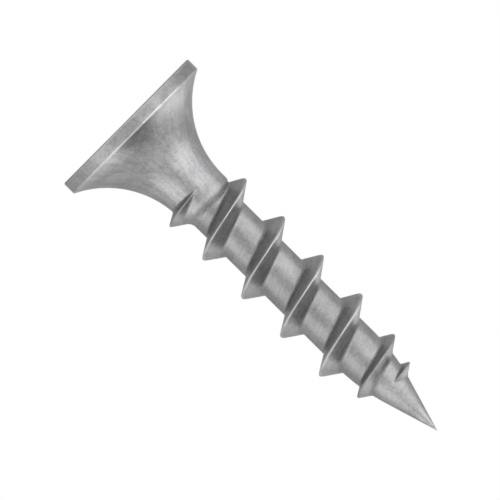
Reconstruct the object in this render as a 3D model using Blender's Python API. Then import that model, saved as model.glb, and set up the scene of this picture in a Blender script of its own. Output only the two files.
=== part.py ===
"""Coarse-thread drywall screw: bugle head, square recess, sharp point.

The screw is one piece of steel wire. Its head is forged to a thin flat disc over a trumpet-shaped
flare, a square punch sinks the recess, and the thread is rolled up out of the shank. It is modelled
in metres and stands on the flat face of its head, with the point up: the origin is the centre of
that face and +Z runs to the point.
"""

import math

import bmesh
import bpy
from mathutils import Matrix, Vector

# Head
HEAD_DIAMETER = 0.0084
RIM_HEIGHT = 0.00068
RIM_EDGE_BREAK = 0.00008
FLARE_HEIGHT = 0.00434

# Square recess in the head's face
RECESS_ACROSS_FLATS = 0.00358
RECESS_LEAD_IN = 0.00006
RECESS_CORNER_RADIUS = 0.00014
RECESS_WALL_DEPTH = 0.0013
RECESS_WALL_TAPER = math.radians(1.5)
RECESS_BOTTOM_SLOPE = math.radians(28)

# Shank and point
LENGTH = 0.021
NECK_DIAMETER = 0.00296
NECK_LENGTH = 0.0004
NECK_SHOULDER_HEIGHT = 0.00024
ROOT_DIAMETER = 0.00246
POINT_HALF_ANGLE = math.radians(16.7)
POINT_BLEND_RADIUS = 0.010

# Thread, a single right-hand start
THREAD_DIAMETER = 0.0042
THREAD_PITCH = 0.00262
CREST_WIDTH = 0.00006
HEAD_SIDE_FLANK_ANGLE = math.radians(28)
TIP_SIDE_FLANK_ANGLE = math.radians(33)
THREAD_START = 0.00468
START_PITCH = 0.00128
START_TURNS = 1.0
START_FADE_TURNS = 0.26
END_TO_TIP = 0.00311
END_PITCH = 0.00057
END_TURNS = 1.7
END_FADE_TURNS = 0.22
POINT_THREAD_HEIGHT = 0.00042
THREAD_START_BEARING = math.radians(-90)

# Fineness of the curved surfaces
SEGMENTS_PER_TURN = 60
FLARE_STEPS = 16
BLEND_STEPS = 6
CORNER_STEPS = 3

# How far the ridge's foot is sunk into the shank, so that the two join cleanly
RIDGE_FOOT_DEPTH = 0.00025

# How far the punch stands out of the head's face, and the distance under which points are one
PUNCH_OVERSHOOT = 0.0003
WELD_DISTANCE = 1e-7

SMOOTH_ANGLE = math.radians(28)


def arc_points(centre, radius, first_angle, last_angle, steps):
    """Points (r, z) along an arc round a centre in the screw's half section."""
    points = []
    for i in range(steps + 1):
        angle = first_angle + (last_angle - first_angle) * i / steps
        points.append((centre[0] + radius * math.cos(angle), centre[1] + radius * math.sin(angle)))
    return points


def flare_points():
    """The trumpet curve: one arc from the rim's edge that runs out tangent to the neck."""
    drop = (HEAD_DIAMETER - NECK_DIAMETER) / 2
    radius = (FLARE_HEIGHT ** 2 + drop ** 2) / (2 * drop)
    centre = (NECK_DIAMETER / 2 + radius, RIM_HEIGHT + FLARE_HEIGHT)
    rim_angle = math.atan2(-FLARE_HEIGHT, drop - radius) % (2 * math.pi)
    return arc_points(centre, radius, rim_angle, math.pi, FLARE_STEPS)


def point_points():
    """The rounded run from the shank into the cone of the point, and the tip."""
    root_radius = ROOT_DIAMETER / 2
    corner_z = LENGTH - root_radius / math.tan(POINT_HALF_ANGLE)
    blend_start = corner_z - POINT_BLEND_RADIUS * math.tan(POINT_HALF_ANGLE / 2)
    centre = (root_radius - POINT_BLEND_RADIUS, blend_start)
    blend = arc_points(centre, POINT_BLEND_RADIUS, 0.0, POINT_HALF_ANGLE, BLEND_STEPS)
    return blend + [(0.0, LENGTH)]


def blank_profile():
    """Half section of the screw without its thread, from the head's face to the tip."""
    head_radius = HEAD_DIAMETER / 2
    neck_end = RIM_HEIGHT + FLARE_HEIGHT + NECK_LENGTH
    profile = [(head_radius - RIM_EDGE_BREAK, 0.0), (head_radius, RIM_EDGE_BREAK)]
    profile += flare_points()
    profile += [(NECK_DIAMETER / 2, neck_end), (ROOT_DIAMETER / 2, neck_end + NECK_SHOULDER_HEIGHT)]
    profile += point_points()
    return profile


def radius_at(profile, z):
    """Radius of the half section at a height above the rim's edge break."""
    for (lower_r, lower_z), (upper_r, upper_z) in zip(profile, profile[1:]):
        if lower_z <= z <= upper_z and upper_z > lower_z:
            return lower_r + (upper_r - lower_r) * (z - lower_z) / (upper_z - lower_z)
    return 0.0


def new_object(name, bm):
    """Object made of a bmesh, with its faces turned outwards."""
    bmesh.ops.recalc_face_normals(bm, faces=bm.faces)
    mesh = bpy.data.meshes.new(name)
    bm.to_mesh(mesh)
    bm.free()
    part = bpy.data.objects.new(name, mesh)
    bpy.context.scene.collection.objects.link(part)
    return part


def as_tool(part):
    """Marks a body that only shapes another one."""
    part.hide_render = True
    part.display_type = "WIRE"
    return part


def turned_blank(name, profile):
    """The half section turned round the axis, with the head's face closed flat."""
    bm = bmesh.new()
    verts = [bm.verts.new((r, 0.0, z)) for r, z in profile]
    edges = [bm.edges.new(pair) for pair in zip(verts, verts[1:])]
    bmesh.ops.spin(
        bm, geom=verts + edges, cent=(0, 0, 0), axis=(0, 0, 1), angle=2 * math.pi,
        steps=SEGMENTS_PER_TURN, use_merge=True)
    bmesh.ops.remove_doubles(bm, verts=bm.verts, dist=WELD_DISTANCE)
    open_edges = [edge for edge in bm.edges if edge.is_boundary]
    bmesh.ops.edgeloop_fill(bm, edges=open_edges)
    return new_object(name, bm)


def thread_stages():
    """Heights where the opening pitch ends and the closing pitch starts, and the turns in between."""
    full_start = THREAD_START + START_TURNS * (START_PITCH + THREAD_PITCH) / 2
    full_end = LENGTH - END_TO_TIP - END_TURNS * (THREAD_PITCH + END_PITCH) / 2
    return full_start, full_end, (full_end - full_start) / THREAD_PITCH


def crest_height(turn):
    """Height of the crest after some turns: the pitch opens at first and closes on the point."""
    full_start, full_end, full_turns = thread_stages()
    if turn < START_TURNS:
        gain = (THREAD_PITCH - START_PITCH) / START_TURNS
        return THREAD_START + START_PITCH * turn + gain * turn ** 2 / 2
    if turn < START_TURNS + full_turns:
        return full_start + THREAD_PITCH * (turn - START_TURNS)
    closing = turn - START_TURNS - full_turns
    loss = (THREAD_PITCH - END_PITCH) / END_TURNS
    return full_end + THREAD_PITCH * closing - loss * closing ** 2 / 2


def crest_radius(profile, z, turn, all_turns):
    """Radius of the crest: full on the shank, parallel to the cone on the point, sunk at both ends."""
    on_point = (LENGTH - z) * math.tan(POINT_HALF_ANGLE) + POINT_THREAD_HEIGHT
    full = min(THREAD_DIAMETER / 2, on_point)
    sunk = radius_at(profile, z) - RIDGE_FOOT_DEPTH / 2
    fade = min(1.0, turn / START_FADE_TURNS, (all_turns - turn) / END_FADE_TURNS)
    return sunk + (full - sunk) * math.sin(max(fade, 0.0) * math.pi / 2)


def flank_foot(profile, crest_z, crest_r, flank_angle, side):
    """Foot (r, z) of a leaning flank, under the thinner of the places that it crosses."""
    lean = math.tan(flank_angle)
    crest_side = radius_at(profile, crest_z)
    foot_side = radius_at(profile, crest_z + side * lean * (crest_r - crest_side + RIDGE_FOOT_DEPTH))
    foot_r = min(crest_side, foot_side) - RIDGE_FOOT_DEPTH
    return foot_r, crest_z + side * lean * (crest_r - foot_r)


def ridge_section(profile, turn, all_turns):
    """Section (r, z) of the ridge: narrow crest, two flanks, and a foot inside the shank."""
    z = crest_height(turn)
    r = crest_radius(profile, z, turn, all_turns)
    head_side = z - CREST_WIDTH / 2
    tip_side = z + CREST_WIDTH / 2
    return [
        (r, head_side),
        (r, tip_side),
        flank_foot(profile, tip_side, r, TIP_SIDE_FLANK_ANGLE, 1),
        flank_foot(profile, head_side, r, HEAD_SIDE_FLANK_ANGLE, -1),
    ]


def thread_ridge(name, profile):
    """The ridge's section carried round the axis along its helix, closed at both ends."""
    bm = bmesh.new()
    all_turns = START_TURNS + thread_stages()[2] + END_TURNS
    stations = math.ceil(all_turns * SEGMENTS_PER_TURN)
    rings = []
    for i in range(stations + 1):
        turn = all_turns * i / stations
        bearing = THREAD_START_BEARING + 2 * math.pi * turn
        outward = Vector((math.cos(bearing), math.sin(bearing), 0.0))
        section = ridge_section(profile, turn, all_turns)
        rings.append([bm.verts.new(outward * r + Vector((0.0, 0.0, z))) for r, z in section])
    for near, far in zip(rings, rings[1:]):
        for i in range(len(near)):
            j = (i + 1) % len(near)
            bm.faces.new((near[i], near[j], far[j], far[i]))
    bm.faces.new(rings[0])
    bm.faces.new(rings[-1])
    bmesh.ops.triangulate(bm, faces=bm.faces)
    return as_tool(new_object(name, bm))


def rounded_square(bm, half_width, z):
    """Ring of points round a square with rounded corners."""
    ring = []
    inset = half_width - RECESS_CORNER_RADIUS
    corner_arc = arc_points((inset, inset), RECESS_CORNER_RADIUS, 0.0, math.pi / 2, CORNER_STEPS)
    for corner in range(4):
        quarter_turns = Matrix.Rotation(corner * math.pi / 2, 3, "Z")
        ring += [bm.verts.new(quarter_turns @ Vector((x, y, z))) for x, y in corner_arc]
    return ring


def recess_punch(name):
    """Square punch with a lead-in, slightly tapered walls and a four-sided point."""
    mouth = RECESS_ACROSS_FLATS / 2
    bottom = mouth - RECESS_WALL_DEPTH * math.tan(RECESS_WALL_TAPER)
    tip_z = RECESS_WALL_DEPTH + bottom * math.tan(RECESS_BOTTOM_SLOPE)
    bm = bmesh.new()
    rings = [
        rounded_square(bm, mouth + RECESS_LEAD_IN + PUNCH_OVERSHOOT, -PUNCH_OVERSHOOT),
        rounded_square(bm, mouth, RECESS_LEAD_IN),
        rounded_square(bm, bottom, RECESS_WALL_DEPTH),
    ]
    for near, far in zip(rings, rings[1:]):
        for i in range(len(near)):
            j = (i + 1) % len(near)
            bm.faces.new((near[i], near[j], far[j], far[i]))
    tip = bm.verts.new((0.0, 0.0, tip_z))
    last = rings[-1]
    for i in range(len(last)):
        bm.faces.new((last[i], last[(i + 1) % len(last)], tip))
    bm.faces.new(rings[0])
    return as_tool(new_object(name, bm))


def shape_with(part, operation, tool):
    """Joins a tool body to the part, or cuts it out."""
    boolean = part.modifiers.new(tool.name, "BOOLEAN")
    boolean.operation = operation
    boolean.solver = "EXACT"
    boolean.object = tool


def coated_steel():
    """Plain grey phosphate-like coating on steel."""
    material = bpy.data.materials.new("grey_coated_steel")
    material.use_nodes = True
    shader = material.node_tree.nodes["Principled BSDF"]
    shader.inputs["Base Color"].default_value = (0.32, 0.32, 0.32, 1.0)
    shader.inputs["Metallic"].default_value = 0.6
    shader.inputs["Roughness"].default_value = 0.45
    return material


def main():
    for old in list(bpy.data.objects):
        bpy.data.objects.remove(old, do_unlink=True)
    profile = blank_profile()
    screw = turned_blank("drywall_screw", profile)
    screw.data.materials.append(coated_steel())
    shape_with(screw, "UNION", thread_ridge("thread_ridge", profile))
    shape_with(screw, "DIFFERENCE", recess_punch("recess_punch"))
    screw.data.shade_smooth()
    screw.data.set_sharp_from_angle(angle=SMOOTH_ANGLE)


main()
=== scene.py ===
# %% [markdown]
# # A drywall screw with a bugle head and a square recess
#
# A drywall screw starts as a length of steel wire. One blow forges the thin flat head with its trumpet
# flare, a square punch sinks the recess, and two flat dies roll the coarse thread up out of the shank.
# Then it gets a thin grey coating. So the real thing is one piece with one skin, and this lesson builds
# that skin as one mesh, from the tip of the point to the bottom of the recess.
#
# The construction model gives the place and size. It stands on its head: the origin is the centre of the
# head's flat face, and +Z runs up the shank to the point.

# %% Load the construction model
import math

import bmesh
import bpy
import numpy as np
from mathutils import Matrix, Vector


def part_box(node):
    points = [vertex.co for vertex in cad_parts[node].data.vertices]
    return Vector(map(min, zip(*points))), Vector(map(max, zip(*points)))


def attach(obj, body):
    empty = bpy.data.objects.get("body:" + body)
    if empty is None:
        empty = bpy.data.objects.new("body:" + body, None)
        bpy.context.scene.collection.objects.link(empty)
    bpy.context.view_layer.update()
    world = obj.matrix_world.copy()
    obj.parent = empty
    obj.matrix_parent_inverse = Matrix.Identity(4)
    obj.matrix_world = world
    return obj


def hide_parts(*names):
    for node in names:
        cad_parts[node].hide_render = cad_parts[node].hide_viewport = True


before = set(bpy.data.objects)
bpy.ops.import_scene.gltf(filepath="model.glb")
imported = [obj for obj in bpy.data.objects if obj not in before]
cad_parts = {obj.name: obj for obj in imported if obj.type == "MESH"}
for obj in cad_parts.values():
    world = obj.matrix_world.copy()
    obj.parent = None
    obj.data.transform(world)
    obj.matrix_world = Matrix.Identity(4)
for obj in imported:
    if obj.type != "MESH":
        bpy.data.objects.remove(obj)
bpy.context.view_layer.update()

# %% [markdown]
# ## Sizes
#
# The head's diameter and the length are read from the construction model, so the skin can't drift away
# from it. The other sizes are the construction model's own, except for the shoulder between neck and shank,
# which is softer here, and the small roundings, which only this finer mesh can hold. All are in metres.

# %% Sizes of the head and the shank
high_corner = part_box("drywall_screw")[1]
LENGTH = high_corner[2]
HEAD_RADIUS = high_corner[0]
RIM_HEIGHT = 0.00068
FACE_EDGE_ROUNDING = 0.00009
FLARE_EDGE_ROUNDING = 0.00005
FLARE_HEIGHT = 0.00434
NECK_RADIUS = 0.00148
SHOULDER_START = 0.00527
SHOULDER_END = 0.00591
ROOT_RADIUS = 0.00123
POINT_HALF_ANGLE = math.radians(16.7)
POINT_BLEND_RADIUS = 0.01
TIP_ROUNDING = 0.000012
print("length and head diameter, mm:", round(1000 * LENGTH, 3), round(2000 * HEAD_RADIUS, 3))

# %% [markdown]
# ## The blank's outline
#
# Before the thread is rolled, the blank is a plain turned shape, so one function of the height gives its
# radius everywhere above the rim. The flare is a single arc that runs out tangent to the neck. The neck
# drops to the shank's root over a short shoulder, here an S-curve, because rolled steel has no sharp
# inner corner. The point is a cone that an arc blends into the shank.

# %% Radius of the blank at any height
FLARE_TOP = RIM_HEIGHT + FLARE_HEIGHT
FLARE_DROP = HEAD_RADIUS - NECK_RADIUS
FLARE_RADIUS = (FLARE_HEIGHT ** 2 + FLARE_DROP ** 2) / (2 * FLARE_DROP)
CONE_SLOPE = math.tan(POINT_HALF_ANGLE)
CONE_CORNER = LENGTH - ROOT_RADIUS / CONE_SLOPE
BLEND_REACH = POINT_BLEND_RADIUS * math.tan(POINT_HALF_ANGLE / 2)
BLEND_START = CONE_CORNER - BLEND_REACH
BLEND_END = CONE_CORNER + BLEND_REACH * math.cos(POINT_HALF_ANGLE)


def smooth_step(x):
    """0 below 0, 1 above 1, with a soft start and end between."""
    x = min(max(x, 0.0), 1.0)
    return x * x * (3 - 2 * x)


def blank_radius(z):
    """Radius of the screw without its thread, at a height above the rim."""
    if z <= FLARE_TOP:
        return NECK_RADIUS + FLARE_RADIUS - math.sqrt(FLARE_RADIUS ** 2 - (FLARE_TOP - z) ** 2)
    if z <= SHOULDER_END:
        drop = smooth_step((z - SHOULDER_START) / (SHOULDER_END - SHOULDER_START))
        return NECK_RADIUS + (ROOT_RADIUS - NECK_RADIUS) * drop
    if z <= BLEND_START:
        return ROOT_RADIUS
    if z <= BLEND_END:
        run = z - BLEND_START
        return ROOT_RADIUS - POINT_BLEND_RADIUS + math.sqrt(POINT_BLEND_RADIUS ** 2 - run ** 2)
    return (LENGTH - z) * CONE_SLOPE


print("flare arc and point blend radius, mm:", round(1000 * FLARE_RADIUS, 2), 1000 * POINT_BLEND_RADIUS)

# %% [markdown]
# ## The thread as a path
#
# The thread is a single right-hand ridge. Three numbers describe it at every turn: the height of its
# crest on the screw, the crest's radius, and how far the ridge stands proud. The pitch opens up over the
# first turn and closes again on the point, which is what the drawing shows, and the ridge fades in and
# out over a quarter of a turn where the rolling dies start and stop biting.

# %% Thread sizes and its path
CREST_RADIUS = 0.0021
CREST_ROUNDING = 0.00003
PITCH = 0.00262
HEAD_SIDE_LEAN = math.tan(math.radians(28))
TIP_SIDE_LEAN = math.tan(math.radians(33))
THREAD_START = 0.00468
START_PITCH = 0.00128
START_TURNS = 1.0
START_FADE_TURNS = 0.26
END_TO_TIP = 0.00311
END_PITCH = 0.00057
END_TURNS = 1.7
END_FADE_TURNS = 0.22
POINT_THREAD_HEIGHT = 0.00042
START_BEARING = math.radians(-90)
ROOT_FILLET = 0.00014

FULL_START = THREAD_START + START_TURNS * (START_PITCH + PITCH) / 2
FULL_END = LENGTH - END_TO_TIP - END_TURNS * (PITCH + END_PITCH) / 2
FULL_TURNS = (FULL_END - FULL_START) / PITCH
ALL_TURNS = START_TURNS + FULL_TURNS + END_TURNS


def crest_height(turn):
    """Height of the crest on the screw after some turns."""
    if turn < START_TURNS:
        return THREAD_START + START_PITCH * turn + (PITCH - START_PITCH) * turn ** 2 / (2 * START_TURNS)
    if turn < START_TURNS + FULL_TURNS:
        return FULL_START + PITCH * (turn - START_TURNS)
    closing = min(turn, ALL_TURNS) - START_TURNS - FULL_TURNS
    return FULL_END + PITCH * closing - (PITCH - END_PITCH) * closing ** 2 / (2 * END_TURNS)


def ridge_height(turn):
    """How far the crest stands above the blank: full on the shank, low on the point, none at the ends."""
    z = crest_height(turn)
    on_point = (LENGTH - z) * CONE_SLOPE + POINT_THREAD_HEIGHT
    full = min(CREST_RADIUS, on_point) - blank_radius(z)
    fade = min(1.0, turn / START_FADE_TURNS, (ALL_TURNS - turn) / END_FADE_TURNS)
    return full * math.sin(max(fade, 0.0) * math.pi / 2)


print("turns of thread:", round(ALL_TURNS, 2))
print("crest heights each turn, mm:", [round(1000 * crest_height(t), 2) for t in range(int(ALL_TURNS) + 1)])

# %% [markdown]
# ## A skin whose lines follow the thread
#
# The ridge could be a separate swept body that is joined to the shank, but a Boolean leaves ragged
# triangles along the joint, and they show as soon as light runs over the steel. Instead the threaded
# stretch is one long ribbon wound round the shank. Each station along it is a short row of points from the
# middle of one groove over the crest to the middle of the next groove, so the mesh lines run exactly along
# crest, flanks and roots. The ribbon's two edges meet in the middle of the groove, one turn apart.
#
# The ribbon needs a beginning and an end. For one more turn at each end its width shrinks to nothing
# against a plain ring, so the rest of the screw can be made of rings.

# %% Where the ribbon lies
COLUMNS = 144
ROOM_BEFORE_THREAD = 0.0007
ROOM_AFTER_THREAD = 0.0005
RIBBON_START = THREAD_START - ROOM_BEFORE_THREAD
LAST_TURN = math.ceil(ALL_TURNS * COLUMNS) / COLUMNS
RIBBON_END = crest_height(LAST_TURN) + ROOM_AFTER_THREAD


def groove_middle(turn):
    """Height of the line in the middle of the groove before the crest at that turn."""
    first = (crest_height(0.0) + crest_height(1.0)) / 2
    last = (crest_height(LAST_TURN - 1) + crest_height(LAST_TURN)) / 2
    if turn < 1:
        return RIBBON_START + (first - RIBBON_START) * max(turn, 0.0)
    if turn > LAST_TURN:
        return last + (RIBBON_END - last) * min(turn - LAST_TURN, 1.0)
    return (crest_height(turn - 1) + crest_height(turn)) / 2


def ribbon_crest(turn):
    """Height of the ribbon's middle line: the crest, or its place in the shrinking ends."""
    inside = min(max(turn, 0.0), LAST_TURN)
    low, high = groove_middle(inside), groove_middle(inside + 1)
    share = (crest_height(inside) - low) / (high - low)
    return groove_middle(turn) + share * (groove_middle(turn + 1) - groove_middle(turn))


print("ribbon from and to, mm:", round(1000 * RIBBON_START, 2), round(1000 * RIBBON_END, 2))

# %% [markdown]
# ## Across the ribbon
#
# Seen in section, the skin bends sharply in two places: over the crest, which the dies leave a little
# round, and in the fillet where the flank runs into the root. Evenly spaced rows would cut both bends off,
# so the rows are packed there and wide apart on the straight flank and in the groove. The shares keep them
# in order where the ridge is low or the ribbon is narrow.

# %% Rows across the ribbon and the radius at each
CREST_ROWS = 3
FLANK_ROWS = 5
FILLET_ROWS = 4
GROOVE_ROWS = 9
ROWS_PER_SIDE = CREST_ROWS + FLANK_ROWS + FILLET_ROWS + GROOVE_ROWS
CREST_ZONE = 2.2 * CREST_ROUNDING
FILLET_ZONE = 1.1 * ROOT_FILLET
WIDEST_CREST_SHARE = 0.12
FOOT_SHARES = (0.3, 0.72)
WIDEST_FILLET_SHARE = 0.4


def side_steps(reach, lean, height):
    """Distances from the crest to the groove's middle, close together at the crest and the fillet."""
    crest = min(CREST_ZONE, WIDEST_CREST_SHARE * reach)
    foot = min(max(lean * height, FOOT_SHARES[0] * reach), FOOT_SHARES[1] * reach)
    room = min(foot - crest, reach - foot)
    fillet = min(lean * FILLET_ZONE, WIDEST_FILLET_SHARE * room)
    marks = [0.0, crest, foot - fillet, foot + fillet, reach]
    counts = [CREST_ROWS, FLANK_ROWS, FILLET_ROWS, GROOVE_ROWS]
    steps = [0.0]
    for (near, far), count in zip(zip(marks, marks[1:]), counts):
        steps += [near + (far - near) * (i + 1) / count for i in range(count)]
    return steps


def skin_radius(z, crest_z, height):
    """Radius of the skin: blank and ridge run into each other through a soft fillet."""
    base = blank_radius(z)
    if height <= 0:
        return base
    away = z - crest_z
    lean = TIP_SIDE_LEAN if away > 0 else HEAD_SIDE_LEAN
    apex = blank_radius(crest_z) + height + CREST_ROUNDING / lean
    ridge = apex - math.hypot(away, CREST_ROUNDING) / lean
    fillet = min(ROOT_FILLET, height)
    overlap = max(fillet - abs(ridge - base), 0.0)
    return max(ridge, base) + overlap ** 2 / (4 * fillet)


print("rows across the ribbon:", 2 * ROWS_PER_SIDE, "in", COLUMNS, "columns a turn")

# %% [markdown]
# ## Small tools for the mesh
#
# Everything that isn't ribbon is a stack of closed rings with one point in each column. A strip of faces
# joins each ring to the next. Towards the tip the rings get so small that half the columns are enough, and
# then half of those. Where two neighbours are the same point, as at such a step and at the shrinking ends
# of the ribbon, the face is a triangle, so faces are made from the points that differ.
#
# Every point also keeps two numbers for the finish: wear, which is 1 on the crests and outer edges that
# rub bare first, and shelter and shade, which is 1 deep in the roots and the recess, where nothing rubs
# and where the coating is darkened as painted shade.

# %% Rings, strips and the marks for wear, shelter and painted shade
bm = bmesh.new()
wear_mark = bm.verts.layers.float.new("wear")
shelter_shade_mark = bm.verts.layers.float.new("shelter_shade")


def bearing_of(column):
    """Angle of a column round the screw's axis."""
    return START_BEARING + 2 * math.pi * column / COLUMNS


def add_point(x, y, z, wear=0.0, shelter_shade=0.0):
    """One point of the skin with its marks."""
    vert = bm.verts.new((x, y, z))
    vert[wear_mark] = wear
    vert[shelter_shade_mark] = shelter_shade
    return vert


def add_ring(radius, z, wear=0.0, shelter_shade=0.0, skip=1):
    """Circle of points, one in each column, or in one column out of skip."""
    angles = [bearing_of(column) for column in range(0, COLUMNS, skip)]
    return [add_point(radius * math.cos(a), radius * math.sin(a), z, wear, shelter_shade) for a in angles]


def add_face(corners, material):
    """Face through the corners that differ."""
    apart = [v for i, v in enumerate(corners) if v is not corners[i - 1]]
    if len(apart) > 2:
        bm.faces.new(apart).material_index = material


def join_rings(lower, upper, material=0):
    """Strip of faces between two rings, facing away from the axis when upper is nearer the point."""
    share = len(lower) // len(upper)
    for i in range(len(lower)):
        j = (i + 1) % len(lower)
        add_face([lower[i], lower[j], upper[j // share], upper[i // share]], material)


print("marks at each point:", bm.verts.layers.float.keys())

# %% [markdown]
# ## A crest that isn't perfect
#
# A rolled crest is never a perfect line, because the metal flows up from both flanks and meets there. Three
# slow waves of about a hundredth of a millimetre are enough to keep the highlight on it alive. Each has a
# number of periods a turn, a share and a phase. The periods aren't whole numbers, so no turn looks like
# the next one.

# %% Waves of the crest
CREST_WAVE = 0.000009
WAVES = ((3.1, 1.0, 0.0), (7.3, 0.7, 1.1), (12.7, 0.5, 2.3))


def crest_wave(turn):
    """Slow unevenness of the rolled crest along the thread."""
    around = 2 * math.pi * turn
    return CREST_WAVE * sum(share * math.sin(periods * around + phase) for periods, share, phase in WAVES)


print("crest waves, mm:", [round(1000 * crest_wave(t / 4), 4) for t in range(5)])

# %% [markdown]
# ## Winding the ribbon
#
# Now the ribbon can be wound. From the second turn on, each station's first point is the last point of the
# station one turn before it, which is how the two edges are sewn together without a gap.
#
# The marks are set on the way. Wear begins well up the flank and is full on the crest. Shelter and shade
# is full in the root, ends half way up the flank, and fades out towards the flare and the point, which are
# open. It keeps nicks out of the root and also darkens the coating there as painted shade.

# %% Wind the threaded stretch
FULL_HEIGHT = CREST_RADIUS - ROOT_RADIUS
WEAR_FROM = 0.72
SHELTER_SHADE_UP_TO = 0.5
SHELTER_SHADE_FADE_AT_FLARE = 0.0012
SHELTER_SHADE_FADE_AT_POINT = 0.0015


def station(turn, first):
    """Row of points across the ribbon, from a point that is already there in the groove below it."""
    crest_z = ribbon_crest(turn)
    height = ridge_height(turn) if 0 <= turn <= ALL_TURNS else 0.0
    wave = crest_wave(turn) * min(1.0, height / FULL_HEIGHT)
    head_side = side_steps(crest_z - groove_middle(turn), HEAD_SIDE_LEAN, height)
    tip_side = side_steps(groove_middle(turn + 1) - crest_z, TIP_SIDE_LEAN, height)
    heights = [crest_z - step for step in reversed(head_side)] + [crest_z + step for step in tip_side[1:]]
    bearing = START_BEARING + 2 * math.pi * turn
    row = [first]
    for z in heights[1:]:
        radius = skin_radius(z, crest_z, height) if z < heights[-1] else blank_radius(z)
        proud = (radius - blank_radius(z)) / FULL_HEIGHT
        radius += wave * proud
        wear = smooth_step((proud - WEAR_FROM) / (1 - WEAR_FROM))
        past_flare = smooth_step((z - FLARE_TOP) / SHELTER_SHADE_FADE_AT_FLARE)
        before_point = smooth_step((RIBBON_END - z) / SHELTER_SHADE_FADE_AT_POINT)
        # Painted shade goes with shelter: this mark darkens the coating in the root and keeps nicks off it.
        shelter_shade = smooth_step(1 - proud / SHELTER_SHADE_UP_TO) * past_flare * before_point
        row.append(add_point(radius * math.cos(bearing), radius * math.sin(bearing), z, wear, shelter_shade))
    return row


def wind_ribbon():
    """The whole ribbon, with the ring under it and the ring above it."""
    all_stations = round((LAST_TURN + 2) * COLUMNS)
    below = add_ring(blank_radius(RIBBON_START), RIBBON_START)
    rows = [[below[0]] * (2 * ROWS_PER_SIDE + 1)]
    for i in range(1, all_stations):
        first = below[i] if i < COLUMNS else rows[i - COLUMNS][-1]
        rows.append(station(i / COLUMNS - 1, first))
    end = rows[all_stations - COLUMNS][-1]
    rows.append([end] * (2 * ROWS_PER_SIDE + 1))
    for near, far in zip(rows, rows[1:]):
        for k in range(2 * ROWS_PER_SIDE):
            add_face([near[k], far[k], far[k + 1], near[k + 1]], 0)
    above = [None] * COLUMNS
    for i in range(all_stations - COLUMNS, all_stations):
        above[i % COLUMNS] = rows[i][-1]
    return below, above


ring_below, ring_above = wind_ribbon()
print("ribbon faces:", len(bm.faces))

# %% [markdown]
# ## The point
#
# From the ribbon up, the point is rings on the cone. The very tip is a ball only a few hundredths of a
# millimetre across: a needle that is drawn to a single vertex would shade as a black star. The last stretch
# before it is a little worn.

# %% Close the point
CONE_RINGS = 26
TIP_RINGS = 5
NARROW_RADIUS = 0.00036
MOST_SKIPPED = 8
TIP_WEAR = 0.4
TIP_WEAR_FROM = 0.965


def cone_outline():
    """Radius and height of the rings from the ribbon to the top of the tip."""
    ball_centre = LENGTH - TIP_ROUNDING / math.sin(POINT_HALF_ANGLE)
    ball_start = ball_centre + TIP_ROUNDING * math.sin(POINT_HALF_ANGLE)
    outline = []
    for i in range(1, CONE_RINGS + 1):
        z = RIBBON_END + (ball_start - RIBBON_END) * i / CONE_RINGS
        outline.append((blank_radius(z), z))
    for i in range(1, TIP_RINGS):
        angle = POINT_HALF_ANGLE + (math.pi / 2 - POINT_HALF_ANGLE) * i / TIP_RINGS
        outline.append((TIP_ROUNDING * math.cos(angle), ball_centre + TIP_ROUNDING * math.sin(angle)))
    return outline, ball_centre + TIP_ROUNDING


outline, top = cone_outline()
last_ring = ring_above
skip = 1
for radius, z in outline:
    wear = TIP_WEAR * smooth_step((z / LENGTH - TIP_WEAR_FROM) / (1 - TIP_WEAR_FROM))
    if radius < NARROW_RADIUS / skip and skip < MOST_SKIPPED:
        skip *= 2
    ring = add_ring(radius, z, wear, skip=skip)
    join_rings(last_ring, ring)
    last_ring = ring
tip = add_point(0.0, 0.0, top, TIP_WEAR)
for i, near in enumerate(last_ring):
    add_face([near, last_ring[(i + 1) % len(last_ring)], tip], 0)
print("top of the tip, mm:", round(1000 * top, 3), "columns there:", len(last_ring))

# %% [markdown]
# ## Flare, rim and face
#
# Below the ribbon the rings follow the flare's arc out to the rim, go down the rim and turn in onto the
# flat face. Forged edges aren't sharp, and it is the small rounding that catches a line of light. A bevel
# could round them afterwards, but here the outline is at hand as a list of points, so each of its corners
# is replaced by a short curve of three weighted points. The two edges of the rim are also where the
# coating wears off first.

# %% Flare, rim and the edge of the face
FLARE_RINGS = 52
ROUNDING_RINGS = 6
RIM_RINGS = 6
FLARE_EDGE_WEAR = 0.8
FACE_EDGE_WEAR = 1.0


def rounded_corner(before, corner, after, reach):
    """Points (radius, z) of a curve that cuts a corner off between its two neighbours."""
    arms = []
    for other in (before, after):
        span = math.hypot(other[0] - corner[0], other[1] - corner[1])
        share = reach / span
        arms.append(tuple(c + (o - c) * share for c, o in zip(corner, other)))
    points = []
    for i in range(ROUNDING_RINGS + 1):
        s = i / ROUNDING_RINGS
        weights = ((1 - s) ** 2, 2 * s * (1 - s), s * s)
        trio = (arms[0], corner, arms[1])
        points.append(tuple(sum(w * p[axis] for w, p in zip(weights, trio)) for axis in (0, 1)))
    return points


def flare_outline():
    """Radius and height of the rings down the flare, evenly spaced along its arc."""
    first = math.asin((FLARE_TOP - RIBBON_START) / FLARE_RADIUS)
    last = math.asin(FLARE_HEIGHT / FLARE_RADIUS)
    points = []
    for i in range(1, FLARE_RINGS + 1):
        z = FLARE_TOP - FLARE_RADIUS * math.sin(first + (last - first) * i / FLARE_RINGS)
        points.append((blank_radius(z), z))
    return points


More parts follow.
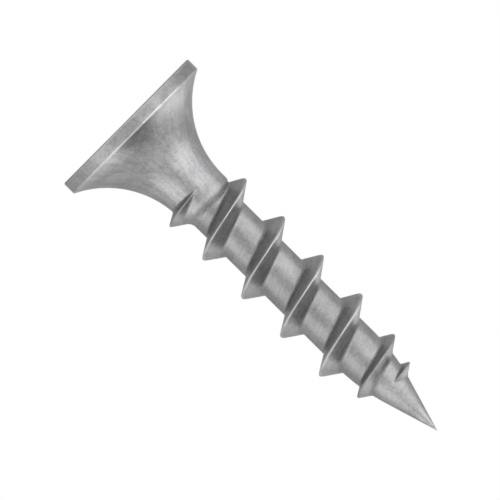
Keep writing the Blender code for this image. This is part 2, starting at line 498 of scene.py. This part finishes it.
flare = flare_outline()
rim_top = flare.pop()
rim_foot = (HEAD_RADIUS, 0.0)
flare_corner = rounded_corner(flare[-1], rim_top, rim_foot, FLARE_EDGE_ROUNDING)
face_corner = rounded_corner(rim_top, rim_foot, (0.0, 0.0), FACE_EDGE_ROUNDING)
rim_side = []
for i in range(1, RIM_RINGS):
    z = flare_corner[-1][1] + (face_corner[0][1] - flare_corner[-1][1]) * i / RIM_RINGS
    rim_side.append((HEAD_RADIUS, z))
outline = [(r, z, 0.0) for r, z in flare]
outline += [(r, z, FLARE_EDGE_WEAR) for r, z in flare_corner]
outline += [(r, z, 0.0) for r, z in rim_side]
outline += [(r, z, FACE_EDGE_WEAR) for r, z in face_corner]
last_ring = ring_below
for radius, z, wear in outline:
    ring = add_ring(radius, z, wear)
    join_rings(ring, last_ring)
    last_ring = ring
face_edge = last_ring
print("rings from the flare to the face:", len(outline))

# %% [markdown]
# ## The recess
#
# The recess is the shape of the punch that made it: a square with rounded corners, walls that taper a
# little so the punch can be pulled out, and a shallow four-sided bottom. A Boolean cut would be the quick
# way, but it would leave the face in one large polygon. Here the rings simply go on as rounded squares.
# They have the same columns as the circles, but a third of the columns of each side run round the corner,
# because evenly spread columns would step over so small a radius.

# %% Square rings
POINTS_ROUND_CORNER = COLUMNS // 12


def square_outline(half_width, corner_radius):
    """Points (x, y) of a rounded square, one for each column, from the middle of its -Y side."""
    third = POINTS_ROUND_CORNER
    inset = half_width - corner_radius
    quarter = [(half_width, inset * i / third) for i in range(third)]
    for i in range(third):
        angle = math.pi / 2 * i / third
        quarter.append((inset + corner_radius * math.cos(angle), inset + corner_radius * math.sin(angle)))
    quarter += [(inset * (third - i) / third, half_width) for i in range(third)]
    points = []
    for side in range(4):
        turned = Matrix.Rotation(START_BEARING + side * math.pi / 2, 2)
        points += [turned @ Vector(p) for p in quarter]
    return points


def add_square_ring(half_width, corner_radius, z, wear, shelter_shade):
    """Rounded square of points, one in each column."""
    return [add_point(x, y, z, wear, shelter_shade) for x, y in square_outline(half_width, corner_radius)]


print("points round one corner:", POINTS_ROUND_CORNER)

# %% [markdown]
# The flat of the face runs from the round edge to the square mouth, so its rings change from one shape to
# the other. Two of them lie close to the edges. They keep the rounding's soft light from bleeding out over
# the flat. After the mouth come the walls and the bottom, down to a single point in the middle.

# %% Face and recess
RECESS_HALF_WIDTH = 0.00179
RECESS_CORNER_RADIUS = 0.00014
RECESS_MOUTH_ROUNDING = 0.00006
RECESS_WALL_DEPTH = 0.0013
RECESS_TAPER = math.tan(math.radians(1.5))
RECESS_BOTTOM_SLOPE = math.tan(math.radians(28))
RECESS_BOTTOM_ROUNDING = 0.00009
FACE_SHARES = (0.012, 0.25, 0.5, 0.75, 0.985)
WALL_RINGS = 10
BOTTOM_RINGS = 12

bottom_half_width = RECESS_HALF_WIDTH - RECESS_WALL_DEPTH * RECESS_TAPER
recess_depth = RECESS_WALL_DEPTH + bottom_half_width * RECESS_BOTTOM_SLOPE
mouth = rounded_corner(
    (HEAD_RADIUS, 0.0), (RECESS_HALF_WIDTH, 0.0), (bottom_half_width, RECESS_WALL_DEPTH),
    RECESS_MOUTH_ROUNDING)
foot = rounded_corner(
    mouth[-1], (bottom_half_width, RECESS_WALL_DEPTH), (0.0, recess_depth), RECESS_BOTTOM_ROUNDING)

edge_points = [v.co.copy() for v in face_edge]
mouth_points = square_outline(mouth[0][0], RECESS_CORNER_RADIUS + RECESS_MOUTH_ROUNDING)
for share in FACE_SHARES:
    ring = []
    for start, (x, y) in zip(edge_points, mouth_points):
        ring.append(add_point(start.x + (x - start.x) * share, start.y + (y - start.y) * share, 0.0))
    join_rings(ring, last_ring)
    last_ring = ring

sides = []
for i, (half, z) in enumerate(mouth):
    corner_radius = RECESS_CORNER_RADIUS + max(half - RECESS_HALF_WIDTH, 0.0)
    sides.append((half, z, corner_radius, 1.0 - i / ROUNDING_RINGS))
for i in range(1, WALL_RINGS):
    half, z = (a + (b - a) * i / WALL_RINGS for a, b in zip(mouth[-1], foot[0]))
    sides.append((half, z, RECESS_CORNER_RADIUS, 0.0))
sides += [(half, z, RECESS_CORNER_RADIUS * half / bottom_half_width, 0.0) for half, z in foot]
for i in range(1, BOTTOM_RINGS):
    half, z = (a + (b - a) * i / BOTTOM_RINGS for a, b in zip(foot[-1], (0.0, recess_depth)))
    sides.append((half, z, RECESS_CORNER_RADIUS * half / bottom_half_width, 0.0))
for half_width, z, corner_radius, wear in sides:
    # The deeper in the recess, the more shelter and the more painted shade.
    shelter_shade = smooth_step(z / RECESS_WALL_DEPTH)
    ring = add_square_ring(half_width, corner_radius, z, wear, shelter_shade)
    join_rings(ring, last_ring, 1 if z > 0 else 0)
    last_ring = ring
floor_of_recess = add_point(0.0, 0.0, recess_depth, 0.0, 1.0)
for i in range(COLUMNS):
    add_face([last_ring[(i + 1) % COLUMNS], last_ring[i], floor_of_recess], 1)
print("recess depth, mm:", round(1000 * recess_depth, 2))

# %% [markdown]
# ## One mesh, one object
#
# The skin is now closed. The ends of the ribbon have left slivers thinner than a hair, so points of the
# ribbon that lie closer together than five thousandths of a millimetre are welded. Before the mesh becomes
# an object, a count of its open edges and its volume shows that it really is one solid with its faces
# pointing out. It takes the place of the plain construction solid and rides on the same body.

# %% Make the screw
SLIVER = 0.000005
ribbon_points = [v for v in bm.verts if RIBBON_START <= v.co.z <= RIBBON_END]
bmesh.ops.remove_doubles(bm, verts=ribbon_points, dist=SLIVER)
open_edges = sum(1 for edge in bm.edges if len(edge.link_faces) != 2)
volume = bm.calc_volume(signed=True)
print("open edges:", open_edges, "volume, mm3:", round(volume * 1e9, 1), "faces:", len(bm.faces))
screw_mesh = bpy.data.meshes.new("screw_skin")
bm.to_mesh(screw_mesh)
bm.free()
screw = bpy.data.objects.new("screw_skin", screw_mesh)
bpy.context.scene.collection.objects.link(screw)
screw_mesh.shade_smooth()
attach(screw, "root")
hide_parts("drywall_screw")

# %% [markdown]
# ## Where the lines of the finish run
#
# Rolling leaves faint lines along the thread, and they should run up the shank exactly as the thread does.
# A texture gets there if each point knows how far round the thread it is: the turn that the crest has
# reached at the point's height, less the point's own bearing. The cosine and sine of that angle are
# stored instead of the angle, because they have no jump where a turn is full.

# %% Store the place round the thread
TABLE_ENTRIES = 400
table_turns = np.linspace(0.0, ALL_TURNS, TABLE_ENTRIES)
table_heights = np.array([crest_height(t) for t in table_turns])
points = np.zeros(len(screw_mesh.vertices) * 3)
screw_mesh.vertices.foreach_get("co", points)
points = points.reshape(-1, 3)
turns = np.interp(points[:, 2], table_heights, table_turns)
turns += np.minimum(points[:, 2] - table_heights[0], 0.0) / START_PITCH
turns += np.maximum(points[:, 2] - table_heights[-1], 0.0) / END_PITCH
bearings = np.arctan2(points[:, 1], points[:, 0]) - START_BEARING
round_thread = 2 * math.pi * turns - bearings
helix = np.column_stack((np.cos(round_thread), np.sin(round_thread), np.zeros(len(points))))
helix_mark = screw_mesh.attributes.new("helix", "FLOAT_VECTOR", "POINT")
helix_mark.data.foreach_set("vector", helix.astype(np.float32).ravel())
for name in ("wear", "shelter_shade", "helix"):
    print("mark on the skin:", name, screw_mesh.attributes[name].data_type)

# %% [markdown]
# ## Tools for the finish
#
# The finish is made of a few effects that come back in more than one material: the mottled coating, the
# fine lines of rolling and drawing, and the places that have rubbed bare. Each one is a node group with
# named inputs and outputs, so it is built once and tuned where it is used.
#
# Small helpers keep the node code short. Inputs are given by name, with an underscore for each space. Some
# nodes have several inputs of the same name, and those go by their number: _0 is the first. Noise rarely
# strays far from one half, so spread() takes the part between low and high and widens it to the whole
# range from 0 to 1.

# %% Helpers for node groups
def new_group(name, inputs, outputs):
    """Empty node group. Inputs are (name, kind, value), outputs are (name, kind)."""
    tree = bpy.data.node_groups.new(name, "ShaderNodeTree")
    for label, kind, value in inputs:
        socket = tree.interface.new_socket(label, in_out="INPUT", socket_type=kind)
        socket.default_value = value
    for label, kind in outputs:
        tree.interface.new_socket(label, in_out="OUTPUT", socket_type=kind)
    return tree, tree.nodes.new("NodeGroupInput"), tree.nodes.new("NodeGroupOutput")


def add_node(tree, kind, settings=(), **inputs):
    """Node with its settings. An input is a value or another node's output socket."""
    node = tree.nodes.new(kind)
    for name, value in dict(settings).items():
        setattr(node, name, value)
    for name, value in inputs.items():
        key = int(name[1:]) if name[0] == "_" else name.replace("_", " ")
        if isinstance(value, bpy.types.NodeSocket):
            tree.links.new(value, node.inputs[key])
        else:
            node.inputs[key].default_value = value
    return node


def math_node(tree, operation, first, second=0.0, third=0.0):
    """Output of a Math node."""
    settings = {"operation": operation}
    return add_node(tree, "ShaderNodeMath", settings, _0=first, _1=second, _2=third).outputs[0]


def mix_values(tree, share, first, second):
    """Output of a Mix node between two numbers."""
    return add_node(tree, "ShaderNodeMix", {"data_type": "FLOAT"}, _0=share, _2=first, _3=second).outputs[0]


def mix_colours(tree, share, first, second):
    """Output of a Mix node between two colours."""
    return add_node(tree, "ShaderNodeMix", {"data_type": "RGBA"}, _0=share, _6=first, _7=second).outputs[2]


def spread(tree, value, low, high):
    """0 up to low, 1 from high on, and a soft rise between: a Map Range node."""
    node = add_node(
        tree, "ShaderNodeMapRange", {"interpolation_type": "SMOOTHSTEP"}, Value=value, From_Min=low,
        From_Max=high)
    return node.outputs["Result"]


def mark(tree, name):
    """Attribute node that reads one of the marks on the skin."""
    return add_node(tree, "ShaderNodeAttribute", {"attribute_name": name})


helpers = (new_group, add_node, math_node, mix_values, mix_colours, spread, mark)
print("helpers:", [helper.__name__ for helper in helpers])

# %% [markdown]
# ## The mottled coating
#
# The coating is grown on the steel in a bath, so it is never one grey. It has soft clouds a millimetre or
# so across, and fine crystals that make it satin instead of shiny. An image could show this, but it would
# stretch over the flare and the thread. Noise that is worked out from the place in space doesn't stretch
# and has no seam. Clouds are plain noise, crystals are the cells of a Voronoi texture with a little noise
# over them. Sizes are in millimetres.

# %% Node group: coating mottle
CLOUDS_IN_SHADE = 0.38
CRYSTALS_IN_GRAIN = 0.55
PIT_DEPTH = 0.6


def coating_mottle():
    """Clouds and crystals: a shade, a grain for the roughness, and a height for the bump."""
    inputs = [
        ("Cloud Size", "NodeSocketFloat", 1.4),
        ("Crystal Size", "NodeSocketFloat", 0.09),
    ]
    outputs = [("Shade", "NodeSocketFloat"), ("Grain", "NodeSocketFloat"), ("Height", "NodeSocketFloat")]
    tree, given, out = new_group("coating mottle", inputs, outputs)
    place = add_node(tree, "ShaderNodeTexCoord").outputs["Object"]
    per_cloud = math_node(tree, "DIVIDE", 1000.0, given.outputs["Cloud Size"])
    per_crystal = math_node(tree, "DIVIDE", 1000.0, given.outputs["Crystal Size"])
    clouds = add_node(
        tree, "ShaderNodeTexNoise", Vector=place, Scale=per_cloud, Detail=5.0, Roughness=0.62,
        Distortion=0.4)
    crystals = add_node(
        tree, "ShaderNodeTexVoronoi", {"feature": "F1"}, Vector=place, Scale=per_crystal, Randomness=1.0)
    dust = add_node(
        tree, "ShaderNodeTexNoise", Vector=place, Scale=per_crystal, Detail=3.0, Roughness=0.7)
    cloud_shade = spread(tree, clouds.outputs["Fac"], 0.34, 0.68)
    powder = spread(tree, dust.outputs["Fac"], 0.3, 0.7)
    crystal_shade = add_node(tree, "ShaderNodeSeparateColor", Color=crystals.outputs["Color"]).outputs[0]
    grain = mix_values(tree, CRYSTALS_IN_GRAIN, powder, crystal_shade)
    shade = mix_values(tree, CLOUDS_IN_SHADE, grain, cloud_shade)
    height = math_node(tree, "MULTIPLY_ADD", crystals.outputs["Distance"], -PIT_DEPTH, powder)
    tree.links.new(shade, out.inputs["Shade"])
    tree.links.new(grain, out.inputs["Grain"])
    tree.links.new(height, out.inputs["Height"])
    return tree


mottle_group = coating_mottle()
print("group:", mottle_group.name, [s.name for s in mottle_group.interface.items_tree])

# %% [markdown]
# ## Lines from rolling and drawing
#
# On the thread the lines run along the helix, because the flat dies rolled the metal that way. On the
# flare they run up and out, because the wire's own drawing lines were spread when the head was forged.
# Both sets come from stretched noise: along the thread the noise is read from the helix mark, and up the
# flare from the direction outward, which doesn't change with height. A slow drift along each line lets it
# end somewhere. Where the flare turns into the neck, one set takes over from the other. The flat face has
# neither, and patches of both are fainter, as they are on any rolled part.

# %% Node group: forming lines
STREAKS_PER_LINE = 0.35
STREAK_DRIFT = 160.0
THREAD_LINES_PER_LINE = 0.4
THREAD_LINE_DRIFT = 0.12
PATCH_SCALE = 900.0
FACE_ENDS = (0.00002, 0.0003)
TAKES_OVER = (FLARE_TOP - 0.0009, FLARE_TOP + 0.0003)


def forming_lines():
    """Lines along the thread and up the flare: a shade and a height, each from 0 to 1."""
    inputs = [("Line Count", "NodeSocketFloat", 26.0), ("Unevenness", "NodeSocketFloat", 0.5)]
    outputs = [("Shade", "NodeSocketFloat"), ("Height", "NodeSocketFloat")]
    tree, given, out = new_group("forming lines", inputs, outputs)
    place = add_node(tree, "ShaderNodeTexCoord").outputs["Object"]
    parts = add_node(tree, "ShaderNodeSeparateXYZ", Vector=place)
    level = add_node(tree, "ShaderNodeCombineXYZ", X=parts.outputs["X"], Y=parts.outputs["Y"])
    outward = add_node(tree, "ShaderNodeVectorMath", {"operation": "NORMALIZE"}, _0=level.outputs[0])
    outward_parts = add_node(tree, "ShaderNodeSeparateXYZ", Vector=outward.outputs[0])

    # Streaks up the flare
    streak_place = add_node(
        tree, "ShaderNodeCombineXYZ", X=outward_parts.outputs["X"], Y=outward_parts.outputs["Y"],
        Z=math_node(tree, "MULTIPLY", parts.outputs["Z"], STREAK_DRIFT))
    streak_scale = math_node(tree, "MULTIPLY", given.outputs["Line Count"], STREAKS_PER_LINE)
    streaks = add_node(
        tree, "ShaderNodeTexNoise", Vector=streak_place.outputs[0], Scale=streak_scale, Detail=4.0,
        Roughness=0.6)
    off_face = spread(tree, parts.outputs["Z"], *FACE_ENDS)
    streaks_off_face = mix_values(tree, off_face, 0.5, streaks.outputs["Fac"])

    # Lines along the thread
    helix_parts = add_node(tree, "ShaderNodeSeparateXYZ", Vector=mark(tree, "helix").outputs["Vector"])
    line_place = add_node(
        tree, "ShaderNodeCombineXYZ", X=helix_parts.outputs["X"], Y=helix_parts.outputs["Y"],
        Z=math_node(tree, "MULTIPLY", outward_parts.outputs["X"], THREAD_LINE_DRIFT))
    line_scale = math_node(tree, "MULTIPLY", given.outputs["Line Count"], THREAD_LINES_PER_LINE)
    lines = add_node(
        tree, "ShaderNodeTexNoise", Vector=line_place.outputs[0], Scale=line_scale, Detail=4.0,
        Roughness=0.65)

    # Both together, fainter in patches
    on_thread = spread(tree, parts.outputs["Z"], *TAKES_OVER)
    both = mix_values(tree, on_thread, streaks_off_face, lines.outputs["Fac"])
    clear = spread(tree, both, 0.3, 0.7)
    uneven = add_node(tree, "ShaderNodeTexNoise", Vector=place, Scale=PATCH_SCALE, Detail=2.0)
    patch = spread(tree, uneven.outputs["Fac"], 0.35, 0.65)
    faintness = math_node(tree, "MULTIPLY", given.outputs["Unevenness"], patch)
    result = mix_values(tree, faintness, clear, 0.5)
    tree.links.new(result, out.inputs["Shade"])
    tree.links.new(result, out.inputs["Height"])
    return tree


lines_group = forming_lines()
print("group:", lines_group.name, [s.name for s in lines_group.interface.items_tree])

# %% [markdown]
# ## Places that have rubbed bare
#
# Screws are tumbled together in the bath and in the box, so the coating goes first where one screw rubs on
# the next: along the crest, at the rim's two edges and round the mouth of the recess. The marks on the
# skin say where those places are. Noise breaks their borders up, and a few small nicks appear elsewhere.
# Without the noise the bare steel would be a painted stripe.

# %% Node group: rubbed bare
BORDER_SCALE = 1400.0
NICK_SCALE = 5200.0


def rubbed_bare():
    """Mask of the bare places, from 0 to 1."""
    inputs = [("Amount", "NodeSocketFloat", 0.7), ("Nicks", "NodeSocketFloat", 0.3)]
    tree, given, out = new_group("rubbed bare", inputs, [("Bare", "NodeSocketFloat")])
    place = add_node(tree, "ShaderNodeTexCoord").outputs["Object"]

    # Worn edges with broken borders
    border = add_node(
        tree, "ShaderNodeTexNoise", Vector=place, Scale=BORDER_SCALE, Detail=4.0, Roughness=0.6)
    wear = mark(tree, "wear").outputs["Fac"]
    broken = math_node(tree, "ADD", wear, math_node(tree, "SUBTRACT", border.outputs["Fac"], 0.5))
    edges = math_node(tree, "MULTIPLY", spread(tree, broken, 0.42, 0.95), given.outputs["Amount"])
    edges_only = math_node(tree, "MULTIPLY", edges, spread(tree, wear, 0.0, 0.25))

    # Small nicks where nothing shelters the steel
    spots = add_node(tree, "ShaderNodeTexNoise", Vector=place, Scale=NICK_SCALE, Detail=2.0, Roughness=0.5)
    nicks = math_node(
        tree, "MULTIPLY", spread(tree, spots.outputs["Fac"], 0.68, 0.76), given.outputs["Nicks"])
    open_places = math_node(tree, "SUBTRACT", 1.0, mark(tree, "shelter_shade").outputs["Fac"])
    open_nicks = math_node(tree, "MULTIPLY", nicks, open_places)
    tree.links.new(math_node(tree, "MAXIMUM", edges_only, open_nicks), out.inputs["Bare"])
    return tree


rubbed_group = rubbed_bare()
print("group:", rubbed_group.name, [s.name for s in rubbed_group.interface.items_tree])

# %% [markdown]
# ## Two materials from the same groups
#
# The outside and the recess have the same coating. The recess is a second material with its own numbers:
# nothing rubs it there, and its darker colours are painted shade for the hollow. Both are nearly all
# metal, dulled by the thin layer on top. Plain metal would turn as white as the room where it is seen at a
# shallow angle, and a grey specular tint keeps the coating grey there. The tint and the specular level are
# the same all over, so they are set on the shader itself, and only what really varies is linked. In both,
# the shelter and shade mark darkens the roots and the bottom of the recess as painted shade.

# %% Materials: coated steel outside and in the recess
SPECULAR_LEVEL = 0.3
SPECULAR_TINT = (0.55, 0.55, 0.55, 1)
LINES_IN_COLOUR = 0.35
PAINTED_SHADE_DARKNESS = 0.35
COATED_METAL = 0.85
BARE_ROUGHNESS = 0.3
LINE_RELIEF = 0.7
CRYSTAL_RELIEF = 0.4
RELIEF_DEPTH = 0.00001


def use_group(tree, group, values):
    """Group node with its inputs set."""
    node = tree.nodes.new("ShaderNodeGroup")
    node.node_tree = group
    for key, value in values.items():
        node.inputs[key].default_value = value
    return node.outputs


def steel_material(name, light, dark, bare, painted_shade, mottle, lines, rubbed, roughness, bump):
    """Coated steel. The colours are linear RGB; roughness is (smoothest, roughest)."""
    material = bpy.data.materials.new(name)
    material.use_nodes = True
    tree = material.node_tree
    shader = next(n for n in tree.nodes if n.type == "BSDF_PRINCIPLED")
    shader.inputs["Specular IOR Level"].default_value = SPECULAR_LEVEL
    shader.inputs["Specular Tint"].default_value = SPECULAR_TINT
    coat = use_group(tree, mottle_group, mottle)
    run = use_group(tree, lines_group, lines)
    worn = use_group(tree, rubbed_group, rubbed)

    shade = mix_values(tree, LINES_IN_COLOUR, coat["Shade"], run["Shade"])
    colour = mix_colours(tree, spread(tree, shade, 0.2, 0.8), (*dark, 1), (*light, 1))
    # Painted shade: the shelter and shade mark darkens the roots and the recess towards about a third of
    # the dark tone.
    painted_shade_amount = math_node(tree, "MULTIPLY", mark(tree, "shelter_shade").outputs["Fac"], painted_shade)
    colour = mix_colours(tree, painted_shade_amount, colour, (*[PAINTED_SHADE_DARKNESS * c for c in dark], 1))
    colour = mix_colours(tree, worn["Bare"], colour, (*bare, 1))
    tree.links.new(colour, shader.inputs["Base Color"])

    rough = mix_values(tree, coat["Grain"], roughness[0], roughness[1])
    rough = mix_values(tree, worn["Bare"], rough, BARE_ROUGHNESS)
    tree.links.new(rough, shader.inputs["Roughness"])
    metal = mix_values(tree, worn["Bare"], COATED_METAL, 1.0)
    tree.links.new(metal, shader.inputs["Metallic"])

    crystals = math_node(tree, "MULTIPLY", coat["Height"], CRYSTAL_RELIEF)
    height = math_node(tree, "MULTIPLY_ADD", run["Height"], LINE_RELIEF, crystals)
    relief = add_node(tree, "ShaderNodeBump", Height=height, Strength=bump, Distance=RELIEF_DEPTH)
    tree.links.new(relief.outputs["Normal"], shader.inputs["Normal"])
    return material


outside = steel_material(
    "grey_coated_steel", light=(0.36, 0.36, 0.365), dark=(0.24, 0.24, 0.244), bare=(0.52, 0.52, 0.51),
    painted_shade=0.2, mottle={"Cloud Size": 1.5, "Crystal Size": 0.1}, lines={"Line Count": 26.0},
    rubbed={"Amount": 0.75, "Nicks": 0.25}, roughness=(0.27, 0.42), bump=0.5)
# The recess copy: its darker colours are painted shade for the hollow.
inside = steel_material(
    "grey_coated_steel_recess_shaded", light=(0.27, 0.27, 0.275), dark=(0.16, 0.16, 0.165),
    bare=(0.5, 0.5, 0.49), painted_shade=0.25, mottle={"Cloud Size": 1.1, "Crystal Size": 0.12},
    lines={"Line Count": 14.0}, rubbed={"Amount": 0.6, "Nicks": 0.1}, roughness=(0.42, 0.62), bump=0.5)
screw_mesh.materials.append(outside)
screw_mesh.materials.append(inside)
print("materials:", [m.name for m in screw_mesh.materials])

# %% [markdown]
# ## Floor
#
# The screw stands on its head on a plain pale floor. Seen level, as here, the floor is only a line, but
# from any higher view it carries the shadow. It lies a hair below the head, so that the two don't flicker
# into each other. It casts no shadow of its own and has a hole that the head just covers, so that the face
# and the recess can be looked at from below in good light.

# %% Floor
FLOOR_REACH = 0.16
FLOOR_HOLE = 0.98 * HEAD_RADIUS
FLOOR_GAP = 0.00002
FLOOR_SIDES = 96
floor_mesh = bpy.data.meshes.new("floor")
corners = []
for reach in (FLOOR_HOLE, FLOOR_REACH):
    for i in range(FLOOR_SIDES):
        angle = 2 * math.pi * i / FLOOR_SIDES
        corners.append((reach * math.cos(angle), reach * math.sin(angle), 0.0))
quads = []
for i in range(FLOOR_SIDES):
    j = (i + 1) % FLOOR_SIDES
    quads.append((i, FLOOR_SIDES + i, FLOOR_SIDES + j, j))
floor_mesh.from_pydata(corners, [], quads)
floor = bpy.data.objects.new("floor", floor_mesh)
floor.location.z = -FLOOR_GAP
floor.visible_shadow = False
bpy.context.scene.collection.objects.link(floor)
print("floor reach, mm:", 1000 * FLOOR_REACH)

# %% [markdown]
# The floor's finish is matt white with the faint grain of paper. It fades out before the floor's edge, so
# that there is no horizon, and it glows a little to the camera, which keeps it close to the white around
# it. The camera sees through its underside.

# %% Paint of the floor
FLOOR_FADE = (0.06 * FLOOR_REACH, 0.6 * FLOOR_REACH)
FLOOR_GLOW = 0.42
FLOOR_TONES = (0.92, 0.96)
PAPER_GRAIN = 900.0
floor_paint = bpy.data.materials.new("pale_floor")
floor_paint.use_nodes = True
tree = floor_paint.node_tree
tree.nodes.clear()
place = add_node(tree, "ShaderNodeTexCoord").outputs["Object"]
distance = add_node(tree, "ShaderNodeVectorMath", {"operation": "LENGTH"}, _0=place).outputs["Value"]
fade = spread(tree, distance, *FLOOR_FADE)
backfacing = add_node(tree, "ShaderNodeNewGeometry").outputs["Backfacing"]
see_through = math_node(tree, "MAXIMUM", fade, backfacing)
paper = add_node(tree, "ShaderNodeTexNoise", Vector=place, Scale=PAPER_GRAIN, Detail=3.0)
tone = mix_colours(tree, paper.outputs["Fac"], *[(t, t, t, 1) for t in FLOOR_TONES])
matt = add_node(tree, "ShaderNodeBsdfDiffuse", Color=tone)
glow = add_node(tree, "ShaderNodeEmission", Color=(1, 1, 1, 1), Strength=1.0)
is_camera = add_node(tree, "ShaderNodeLightPath").outputs["Is Camera Ray"]
camera_share = math_node(tree, "MULTIPLY", is_camera, FLOOR_GLOW)
paler = add_node(
    tree, "ShaderNodeMixShader", _0=camera_share, _1=matt.outputs[0], _2=glow.outputs[0])
clear = add_node(tree, "ShaderNodeBsdfTransparent")
mixed = add_node(
    tree, "ShaderNodeMixShader", _0=see_through, _1=paler.outputs[0], _2=clear.outputs[0])
add_node(tree, "ShaderNodeOutputMaterial", Surface=mixed.outputs[0])
floor_mesh.materials.append(floor_paint)
print("floor material:", floor_paint.name, "tones:", FLOOR_TONES)

# %% [markdown]
# ## World and lamps
#
# The background is white to the camera and in the steel's reflections, and much weaker as a light, so that
# the lamps shape the screw.

# %% World
WORLD_LIGHT = 0.36
world = bpy.data.worlds.new("pale_room")
bpy.context.scene.world = world
world.use_nodes = True
tree = world.node_tree
tree.nodes.clear()
rays = add_node(tree, "ShaderNodeLightPath").outputs
seen = math_node(
    tree, "MAXIMUM", math_node(tree, "MAXIMUM", rays["Is Camera Ray"], rays["Is Glossy Ray"]),
    rays["Is Transmission Ray"])
weak = add_node(tree, "ShaderNodeBackground", Color=(1, 1, 1, 1), Strength=WORLD_LIGHT)
white = add_node(tree, "ShaderNodeBackground", Color=(1, 1, 1, 1), Strength=1.0)
sky = add_node(tree, "ShaderNodeMixShader", _0=seen, _1=weak.outputs[0], _2=white.outputs[0])
add_node(tree, "ShaderNodeOutputWorld", Surface=sky.outputs[0])
print("world light:", WORLD_LIGHT)

# %% [markdown]
# Four soft lamps light it like a small thing on a photographer's table. As the screw stands, they are a
# key from the left and a little above, a weaker fill from the right, one behind and above that draws the
# edges, and a low one that lifts the flanks which face the head. The low one is under the floor and shines
# through it, because the floor casts no shadow.
#
# All are large for so small an object, which keeps the highlights broad. The key is the largest. A smaller
# one burns the edge of each crest out to white when the screw is seen from behind, as if the thread were
# chipped. Directions are from the middle of the screw. Distances and sizes are in metres.

# %% Lamps
middle = Vector((0.0, 0.0, LENGTH / 2))


def soft_lamp(name, direction, distance, size, power):
    """Square soft lamp that faces the middle of the screw."""
    light = bpy.data.lights.new(name, "AREA")
    light.size = size
    light.energy = power
    lamp = bpy.data.objects.new(name, light)
    lamp.location = middle + Vector(direction).normalized() * distance
    lamp.rotation_mode = "QUATERNION"
    lamp.rotation_quaternion = Vector(direction).to_track_quat("Z", "Y")
    lamp.visible_camera = False
    bpy.context.scene.collection.objects.link(lamp)
    return lamp


lamps = [
    soft_lamp("key", direction=(-0.8, -0.7, 0.3), distance=0.12, size=0.18, power=0.135),
    soft_lamp("fill", direction=(0.9, -0.6, 0.25), distance=0.13, size=0.13, power=0.06),
    soft_lamp("back", direction=(-0.1, 0.8, 0.9), distance=0.13, size=0.1, power=0.05),
    soft_lamp("low", direction=(0.1, -0.6, -0.8), distance=0.12, size=0.12, power=0.07),
]
print("lamps:", {lamp.name: round(lamp.data.energy, 3) for lamp in lamps})

# %% [markdown]
# ## Camera
#
# A drawing has no perspective, so the camera is orthographic. It looks level at the screw and is rolled so
# that the head is at the upper left of the frame and the point at the lower right. Three directions say
# this more plainly than three angles: what is right in the picture, what is up, and where the camera is.
# The frame is square, and its width in metres sets how large the screw is in it.

# %% Camera
FRAME_WIDTH = 0.023896
FRAME_CENTRE = Vector((0.000179, 0.0, 0.008547))
CAMERA_DISTANCE = 0.08
right = Vector((-0.7044, 0.0, 0.7098))
up = Vector((-0.7098, 0.0, -0.7044))
back = Vector((0.0, -1.0, 0.0))
camera_data = bpy.data.cameras.new("camera")
camera_data.type = "ORTHO"
camera_data.ortho_scale = FRAME_WIDTH
camera_data.clip_start = 0.001
camera_data.clip_end = 1.0
camera = bpy.data.objects.new("camera", camera_data)
camera_axes = Matrix((right, up, back)).transposed().to_4x4()
camera.matrix_world = Matrix.Translation(FRAME_CENTRE + back * CAMERA_DISTANCE) @ camera_axes
bpy.context.scene.collection.objects.link(camera)
bpy.context.scene.camera = camera
bpy.context.scene.view_settings.view_transform = "Standard"
print("metres a pixel at 500 pixels:", FRAME_WIDTH / 500)
